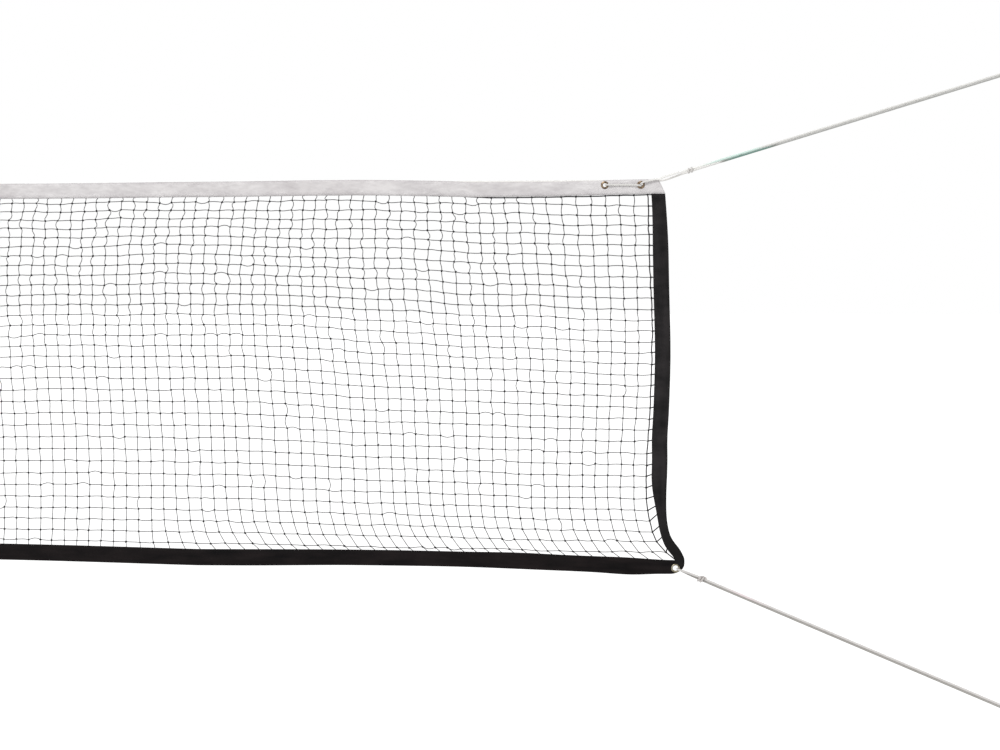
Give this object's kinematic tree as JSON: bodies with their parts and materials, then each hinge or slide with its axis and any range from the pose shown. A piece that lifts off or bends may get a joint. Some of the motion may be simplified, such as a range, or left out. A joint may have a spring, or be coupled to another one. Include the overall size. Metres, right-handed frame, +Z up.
{
  "type": "badminton net",
  "caption": "Knotted court net with a pale folded headband, dark edge tapes, metal eyelets and doubled tie cords with end loops at its corners.",
  "frame": {"origin": "on the fold of the headband, halfway along the net and through its thickness", "axes": "+X along the net to its right end seen from the front, -Y the front face, +Z up"},
  "size_m": [7.5908, 0.015, 1.2678],
  "materials": {
    "black_twine": "matte twisted nylon",
    "white_coated_tape": "satin vinyl-coated cloth",
    "black_tape": "matte woven polyester",
    "white_cord": "braided polyester",
    "brass": "antique brass, satin",
    "nickel": "pale plated brass, polished"
  },
  "bodies": {
    "headband": {"headband": "white_coated_tape", "head_cord": "white_cord", "inner_eyelets": "brass", "outer_eyelets": "brass", "lacing_cords": "white_cord"},
    "curtain": {"netting": "black_twine", "bottom_band": "black_tape", "side_band_left": "black_tape", "side_band_right": "black_tape", "corner_eyelets": "nickel"},
    "top_tie_right": {"top_tie_right": "white_cord", "top_tie_knot_right": "white_cord", "top_tie_end_knot_right": "white_cord"},
    "bottom_tie_right": {"bottom_tie_right": "white_cord", "bottom_tie_knot_right": "white_cord", "bottom_tie_end_knot_right": "white_cord"},
    "top_tie_left": {"top_tie_left": "white_cord", "top_tie_knot_left": "white_cord", "top_tie_end_knot_left": "white_cord"},
    "bottom_tie_left": {"bottom_tie_left": "white_cord", "bottom_tie_knot_left": "white_cord", "bottom_tie_end_knot_left": "white_cord"}
  },
  "joints": [
    {"name": "curtain_swing", "type": "hinge", "parent": "headband", "child": "curtain", "pos_m": [0, 0, -0.0279], "axis": [1, 0, 0], "range_deg": [-45, 45]},
    {"name": "top_tie_swing_right", "type": "hinge", "parent": "headband", "child": "top_tie_right", "pos_m": [3.055, 0, -0.001], "axis": [0, 1, 0], "range_deg": [-28, 75]},
    {"name": "bottom_tie_swing_right", "type": "hinge", "parent": "curtain", "child": "bottom_tie_right", "pos_m": [3.0913, 0, -0.7487], "axis": [0, 1, 0], "range_deg": [-42, 67]},
    {"name": "top_tie_swing_left", "type": "hinge", "parent": "headband", "child": "top_tie_left", "pos_m": [-3.055, 0, -0.001], "axis": [0, -1, 0], "range_deg": [-28, 75]},
    {"name": "bottom_tie_swing_left", "type": "hinge", "parent": "curtain", "child": "bottom_tie_left", "pos_m": [-3.0913, 0, -0.7487], "axis": [0, -1, 0], "range_deg": [-42, 67]}
  ]
}
